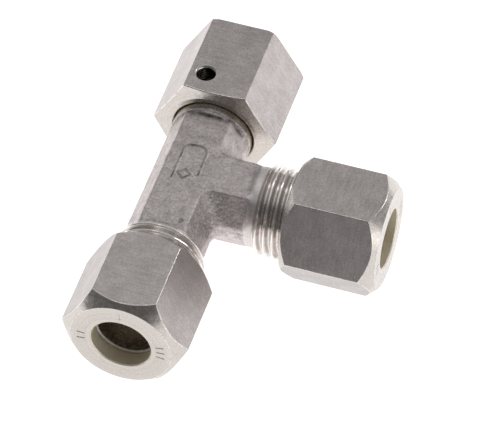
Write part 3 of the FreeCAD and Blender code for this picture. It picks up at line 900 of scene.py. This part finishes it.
def make_floor():
    """A plain pale table top, level with the lower flats of the nuts, that glows as a light; its
    glow is darker far in front and brighter to the left and behind.
    """
    level = cad_box[0].z - FLOOR_GAP_MM * MM
    corners = [(x * FLOOR_HALF, y * FLOOR_HALF, level)
               for x, y in ((-1, -1), (1, -1), (1, 1), (-1, 1))]
    mesh = bpy.data.meshes.new("floor")
    mesh.from_pydata(corners, [], [(0, 1, 2, 3)])
    floor = bpy.data.objects.new("floor", mesh)
    bpy.context.scene.collection.objects.link(floor)
    nodes = Nodes(bpy.data.materials.new("floor"))
    shader = nodes.tree.nodes["Principled BSDF"]
    shader.inputs["Base Color"].default_value = (*FLOOR_GREY, 1)
    shader.inputs["Roughness"].default_value = FLOOR_ROUGHNESS
    shader.inputs["Specular IOR Level"].default_value = FLOOR_SPECULAR
    shader.inputs["Emission Color"].default_value = (1, 1, 1, 1)
    # the floor glows and lights the part; its glow fades darker far in front
    parts = nodes.add("SeparateXYZ", Vector=nodes.add("TexCoord").outputs["Object"])
    glow = nodes.maths("ADD", nodes.remap(parts.outputs["Y"], *FLOOR_NEAR),
                       nodes.remap(parts.outputs["Y"], *FLOOR_BEHIND))
    glow = nodes.maths("ADD", glow, nodes.remap(parts.outputs["X"], *FLOOR_LEFT))
    nodes.put(shader, "Emission Strength", glow)
    mesh.materials.append(nodes.owner)


def add_area_light(name, size, power, place):
    data = bpy.data.lights.new(name, "AREA")
    data.shape = "RECTANGLE"
    data.size, data.size_y = size
    data.energy = power
    light = bpy.data.objects.new(name, data)
    bpy.context.scene.collection.objects.link(light)
    light.location = place
    light.rotation_euler = (-light.location).to_track_quat("-Z", "Y").to_euler()


def make_lights():
    """A small soft box and a strip at the back, in a room that is darker on the viewer's side."""
    add_area_light("softbox", **SOFTBOX)
    add_area_light("strip", **STRIP)

    nodes = Nodes(bpy.data.worlds.new("room"))
    parts = nodes.add("SeparateXYZ", Vector=nodes.add("TexCoord").outputs["Generated"])
    x, y, z = (parts.outputs[axis] for axis in "XYZ")
    up, low = nodes.remap(z, *ROOM_TO_UP), nodes.remap(z, *ROOM_TO_LOW)
    front = nodes.maths("ADD", ROOM_FRONT,
                        nodes.maths("MULTIPLY", up, ROOM_FRONT_UP - ROOM_FRONT))
    back = nodes.maths("ADD", ROOM_BACK,
                       nodes.maths("MULTIPLY", low, ROOM_HORIZON - ROOM_BACK))
    room = nodes.maths("ADD", front, nodes.maths("MULTIPLY", nodes.remap(y, *ROOM_TO_BACK),
                                                 nodes.maths("SUBTRACT", back, front)))
    side = nodes.maths("MULTIPLY", nodes.remap(x, *ROOM_SIDE), nodes.remap(z, *ROOM_SIDE_HEIGHT))
    side = nodes.maths("MULTIPLY", side, nodes.remap(y, *ROOM_SIDE_FRONT))
    room = nodes.maths("ADD", room, side)
    room = nodes.maths("ADD", room, nodes.remap(z, *ROOM_ZENITH))
    background = nodes.tree.nodes["Background"]
    background.inputs["Color"].default_value = (1, 1, 1, 1)
    nodes.put(background, "Strength", room)
    bpy.context.scene.world = nodes.owner
    bpy.context.scene.view_settings.view_transform = "Standard"


# ---------------------------------------------------------------- metals

class Nodes:
    """The node tree of a material or world, with short calls for adding and linking nodes."""

    def __init__(self, owner):
        owner.use_nodes = True
        self.owner = owner
        self.tree = owner.node_tree

    def add(self, kind, settings=None, **inputs):
        item = self.tree.nodes.new("ShaderNode" + kind)
        for key, value in (settings or {}).items():
            setattr(item, key, value)
        for key, value in inputs.items():
            self.put(item, key.replace("_", " "), value)
        return item

    def put(self, item, key, value):
        target = item.inputs[int(key)] if key.isdigit() else item.inputs[key]
        if isinstance(value, bpy.types.NodeSocket):
            self.tree.links.new(value, target)
        else:
            target.default_value = value

    def maths(self, operation, *values):
        item = self.add("Math", {"operation": operation})
        for index, value in enumerate(values):
            self.put(item, str(index), value)
        return item.outputs[0]

    def remap(self, value, low, high, out_low, out_high):
        item = self.add("MapRange", {"interpolation_type": "SMOOTHSTEP"}, Value=value)
        for key, number in (("From Min", low), ("From Max", high), ("To Min", out_low),
                            ("To Max", out_high)):
            item.inputs[key].default_value = number
        return item.outputs[0]

    def vary(self, noise, low, high):
        """A number that follows a noise from its usual least to its usual most."""
        return self.remap(noise, *NOISE_SPAN, low, high)

    def millimetres(self):
        place = self.add("TexCoord").outputs["Object"]
        return self.shade(place, 1 / MM)

    def from_axis(self, place):
        """Distance from the piece's own Z axis."""
        flat = self.add("VectorMath", {"operation": "MULTIPLY"})
        self.put(flat, "0", place)
        flat.inputs[1].default_value = (1, 1, 0)
        length = self.add("VectorMath", {"operation": "LENGTH"})
        self.put(length, "0", flat.outputs[0])
        return length.outputs["Value"]

    def noise(self, place, scale, detail=3.0, rough=0.55):
        item = self.add("TexNoise", Vector=place, Scale=scale, Detail=detail, Roughness=rough)
        return item.outputs["Fac"]

    def marks(self, place, scale):
        """Fine lathe marks: noise that is the same all the way round the piece's own Z axis."""
        parts = self.add("SeparateXYZ", Vector=place)
        joined = self.add("CombineXYZ", X=self.from_axis(place), Y=parts.outputs["Z"])
        return self.noise(joined.outputs[0], scale, detail=2.0)

    def blend(self, share, first, second):
        """Two colours mixed by a share from 0 to 1; each is three numbers or a node's output."""
        item = self.add("Mix", {"data_type": "RGBA"})
        self.put(item, "0", share)
        for slot, colour in (("6", first), ("7", second)):
            self.put(item, slot, (*colour, 1) if isinstance(colour, tuple) else colour)
        return item.outputs[2]

    def shade(self, vector, factor):
        """A colour or a place scaled by a number."""
        item = self.add("VectorMath", {"operation": "SCALE"})
        self.put(item, "0", vector)
        self.put(item, "Scale", factor)
        return item.outputs[0]

    def bump(self, height, depth, below=None):
        item = self.add("Bump", Height=height)
        item.inputs["Strength"].default_value = 1.0
        item.inputs["Distance"].default_value = depth * MM
        if below is not None:
            self.put(item, "Normal", below)
        return item.outputs[0]

    def finished(self, colour, roughness, normal=None, metallic=1.0):
        """The material with its surface set; each value is plain or a node's output."""
        shader = self.tree.nodes["Principled BSDF"]
        self.put(shader, "Base Color", colour)
        self.put(shader, "Roughness", roughness)
        self.put(shader, "Metallic", metallic)
        if normal is not None:
            self.put(shader, "Normal", normal)
        return self.owner


def new_material(name):
    """A new material's nodes, and the place on the piece in millimetres."""
    nodes = Nodes(bpy.data.materials.new(name))
    return nodes, nodes.millimetres()


def turned_steel():
    """Bright lathe-turned stainless steel: fine rings, a little uneven."""
    nodes, place = new_material("turned_steel")
    cloud = nodes.noise(place, scale=0.35, detail=2.0)
    marks = nodes.marks(place, scale=7.0)
    grain = nodes.noise(place, scale=4.0, rough=0.7)
    patchy = nodes.noise(place, scale=1.3)
    colour = nodes.blend(cloud, STEEL_DARK, STEEL_LIGHT)
    colour = nodes.shade(colour, nodes.vary(grain, 0.90, 1.10))
    colour = nodes.shade(colour, nodes.vary(marks, 0.95, 1.05))
    wavy = nodes.bump(patchy, depth=0.03, below=nodes.bump(marks, depth=0.006))
    return nodes.finished(colour, nodes.vary(patchy, 0.2, 0.32),
                          nodes.bump(grain, depth=0.008, below=wavy))


def thread_steel():
    """Cut threads by radius: crests lightened as a painted highlight, flanks darkened as painted
    shade.
    """
    nodes, place = new_material("thread_steel")
    radius = nodes.from_axis(place)
    grain = nodes.noise(place, scale=4.0, rough=0.7)
    patchy = nodes.noise(place, scale=1.1)
    colour = nodes.blend(patchy, THREAD_DARK, THREAD_LIGHT)
    colour = nodes.shade(colour, nodes.vary(grain, 0.85, 1.1))
    # painted highlight on the crests and painted shade on the flanks
    colour = nodes.blend(nodes.remap(radius, *CREST_FROM, 0.0, 1.0), colour, CREST_SHINE)
    flank = nodes.maths("MULTIPLY", nodes.remap(radius, *FLANK_FROM, 0.0, FLANK_DARKENING),
                        nodes.remap(radius, *FLANK_TO, 1.0, 0.0))
    colour = nodes.shade(colour, nodes.maths("SUBTRACT", 1.0, flank))
    return nodes.finished(colour, nodes.vary(patchy, 0.12, 0.22), nodes.bump(grain, depth=0.008))


def neck_steel():
    """The smooth, light satin necks between the forging and its threads."""
    nodes, place = new_material("neck_steel")
    cloud = nodes.noise(place, scale=0.9, detail=4.0, rough=0.65)
    sand = nodes.noise(place, scale=3.0, detail=4.0, rough=0.7)
    colour = nodes.blend(cloud, NECK_DARK, NECK_LIGHT)
    colour = nodes.shade(colour, nodes.vary(sand, 0.88, 1.1))
    return nodes.finished(colour, nodes.vary(sand, 0.36, 0.5), nodes.bump(sand, depth=0.02))


def worn_edge():
    """Edges rubbed bright by handling, with duller gaps; on the wire hole's countersink the same
    light finish is a painted glint.
    """
    nodes, place = new_material("worn_edge")
    patchy = nodes.noise(place, scale=1.6, detail=4.0, rough=0.65)
    colour = nodes.blend(nodes.remap(patchy, *WEAR_SPAN, 0.0, 1.0), STEEL_DARK, WORN_EDGE)
    return nodes.finished(colour, nodes.remap(patchy, *WEAR_SPAN, 0.34, 0.2),
                          nodes.bump(patchy, depth=0.01))


def drilled_hole():
    """The inside of the wire hole, painted nearly black as the shade deep in the hole, a little
    uneven.
    """
    nodes, place = new_material("drilled_hole")
    film = nodes.noise(place, scale=1.5)
    return nodes.finished(nodes.blend(film, HOLE_DARK, HOLE_LIGHT), nodes.vary(film, 0.2, 0.35),
                          nodes.bump(film, depth=0.01))


def bar_steel():
    """The nuts' flats: drawn bar, satin, with a fine grain and cross streaks."""
    nodes, place = new_material("bar_steel")
    cloud = nodes.noise(place, scale=0.3)
    grain = nodes.noise(place, scale=5.0, detail=5.0, rough=0.75)
    drawn = nodes.add("Mapping", Vector=place)
    drawn.inputs["Scale"].default_value = STREAK_SCALE
    streaks = nodes.noise(drawn.outputs[0], scale=1.0, detail=4.0, rough=0.65)
    colour = nodes.blend(nodes.vary(cloud, 0.0, 1.0), BAR_DARK, BAR_LIGHT)
    colour = nodes.shade(colour, nodes.remap(grain, *GRAIN_SPAN, 0.72, 1.28))
    colour = nodes.shade(colour, nodes.vary(streaks, 0.91, 1.09))
    fine = nodes.bump(grain, depth=0.018)
    return nodes.finished(colour, nodes.vary(grain, 0.29, 0.41),
                          nodes.bump(streaks, depth=0.006, below=fine))


def bore_steel():
    """Drilled and reamed insides: duller, a little brown, with marks round the axis."""
    nodes, place = new_material("bore_steel")
    cloud = nodes.noise(place, scale=0.6)
    marks = nodes.marks(place, scale=4.0)
    return nodes.finished(nodes.blend(cloud, BORE_DARK, BORE_LIGHT), nodes.vary(marks, 0.35, 0.5),
                          nodes.bump(marks, depth=0.012), metallic=0.5)


def forged_steel():
    """Shot-blasted and pickled forging: matt and sandy, darkened by the painted shade that
    forged_surface laid down.
    """
    nodes, place = new_material("forged_steel")
    cloud = nodes.noise(place, scale=0.55, detail=4.0, rough=0.65)
    sand = nodes.noise(place, scale=2.1, detail=5.0, rough=0.85)
    specks = nodes.noise(place, scale=2.8, detail=2.0, rough=0.6)
    pits = nodes.add("TexVoronoi", {"feature": "F1"}, Vector=place, Scale=2.0)
    dent = nodes.remap(pits.outputs["Distance"], *PIT_WALL, 0.0, 1.0)
    stain = nodes.add("Attribute", {"attribute_name": STAIN}).outputs["Fac"]
    colour = nodes.blend(nodes.vary(cloud, 0.0, 1.0), FORGED_DARK, FORGED_LIGHT)
    colour = nodes.shade(colour, nodes.vary(sand, 0.68, 1.3))
    colour = nodes.shade(colour, nodes.remap(specks, *SPECK_SPAN, 0.68, 1.0))
    # the painted shade from forged_surface darkens the colour
    colour = nodes.shade(colour, nodes.maths("SUBTRACT", 1.0, stain))
    return nodes.finished(colour, nodes.vary(sand, 0.40, 0.56),
                          nodes.bump(sand, depth=0.06, below=nodes.bump(dent, depth=0.02)))


def ring_steel(ring, outward):
    """Dark turned steel, with a painted highlight, near white and not metallic, on the outermost
    edge of the ring's bore.
    """
    nodes, place = new_material(ring.name + "_steel")
    along = ring.matrix_world.to_3x3().inverted() @ Vector(outward)
    rim_place = max(vertex.co.dot(along) for vertex in ring.data.vertices) / MM
    reached = nodes.add("VectorMath", {"operation": "DOT_PRODUCT"})
    nodes.put(reached, "0", place)
    reached.inputs[1].default_value = along
    depth = nodes.maths("SUBTRACT", rim_place, reached.outputs["Value"])
    # rim: the painted highlight, white and not metallic
    rim = nodes.remap(depth, *RING_RIM_DEPTH, 1.0, 0.0)
    plain = nodes.blend(nodes.noise(place, scale=0.9), STEEL_DARK, STEEL_LIGHT)
    return nodes.finished(nodes.blend(rim, plain, RING_RIM),
                          nodes.vary(nodes.noise(place, scale=1.3), 0.2, 0.32),
                          metallic=nodes.maths("SUBTRACT", 1.0, rim))


def wire_steel():
    """Smooth drawn spring wire."""
    nodes, place = new_material("wire_steel")
    grain = nodes.noise(place, scale=5.0)
    return nodes.finished(nodes.blend(grain, STEEL_DARK, STEEL_LIGHT),
                          nodes.vary(grain, 0.25, 0.38), nodes.bump(grain, depth=0.003))


def seal_rubber():
    """Matt black nitrile rubber, slightly dusty."""
    nodes, place = new_material("seal_rubber")
    dust = nodes.noise(place, scale=1.2, detail=4.0)
    skin = nodes.noise(place, scale=14.0)
    return nodes.finished(nodes.blend(dust, RUBBER_DARK, RUBBER_LIGHT),
                          nodes.vary(dust, 0.45, 0.62), nodes.bump(skin, depth=0.004),
                          metallic=0.0)


def give(piece, *materials):
    """Material slots in the order that the marked zones count them."""
    zones = [face.material_index for face in piece.data.polygons]
    piece.data.materials.clear()
    for material in materials:
        piece.data.materials.append(material)
    piece.data.polygons.foreach_set("material_index", zones)


def mark_necks(mesh):
    """The smoother necks next to the threads, with an uneven border to the forged skin."""
    for face in mesh.polygons:
        place = face.center / MM
        ragged = NECK_RAGGED * noise.noise(place * NECK_RAGGED_SCALE)
        if place.x > NECK_STARTS["branch"] + ragged or -place.y > NECK_STARTS["run"] + ragged:
            face.material_index = FORGING_NECK


def around_axis(face):
    """A face's radius from the local Z axis, and whether it faces that axis."""
    inward = face.normal.x * face.center.x + face.normal.y * face.center.y < 0
    return math.hypot(face.center.x, face.center.y) / MM, inward


def mark_zones(mesh, chamfers, worn_corners):
    """A nut's faces by finish, told by radius and by slope, which is the normal's Z.

    An edge is any outer face whose slope is none of the flats', end faces' or chamfers'."""
    corner = math.degrees(corner_half_angle()) if worn_corners else 0.0
    for face in mesh.polygons:
        radius, inward = around_axis(face)
        slope = abs(face.normal.z)
        turn = math.degrees(math.atan2(face.center.y, face.center.x))
        off_corner = abs((turn + 30) % 60 - 30)
        between = min(abs(slope - known) for known in (0.0, 1.0, *chamfers)) > SLOPE_MARGIN
        upright = slope < SLOPE_MARGIN
        inner_edge = abs(radius - NUT_BORE) < NUT_EDGE and between
        if inner_edge or radius > OUTSIDE and (between or upright and off_corner < corner):
            face.material_index = NUT_WORN
        elif radius > FLATS_FROM and upright:
            face.material_index = NUT_FLAT
        elif inward and radius < OUTSIDE:
            face.material_index = NUT_INSIDE


def mark_end_zones(mesh, swivel):
    """A tee end's faces by finish."""
    for face in mesh.polygons:
        radius, inward = around_axis(face)
        place = face.center.z / MM
        if inward and radius < CAVITY:
            face.material_index = END_BORE
        elif swivel:
            face.material_index = END_FORGED if place < SPIGOT_FORGED_TO else END_TURNED
        elif radius < NECK_REACH and place < NECK_TO:
            face.material_index = END_NECK


def main():
    steel, bar, bore, forged = turned_steel(), bar_steel(), bore_steel(), forged_steel()
    edge, thread, neck, drilled = worn_edge(), thread_steel(), neck_steel(), drilled_hole()
    for nut in make_nuts():
        give(nut, steel, bar, bore, edge, drilled)
    for end in make_machined_ends():
        give(end, thread, forged, bore, neck, steel)
    forging = make_forging()
    give(forging, forged, neck)
    mark_necks(forging.data)
    for end in NECK_ENDS:
        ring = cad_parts[f"cutting_ring_{end}"]
        give(ring, ring_steel(ring, END_AXES[end][2]))
    give(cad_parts["retaining_wire"], wire_steel())
    give(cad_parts["o_ring"], seal_rubber())
    make_floor()
    make_lights()
    make_camera()


main()
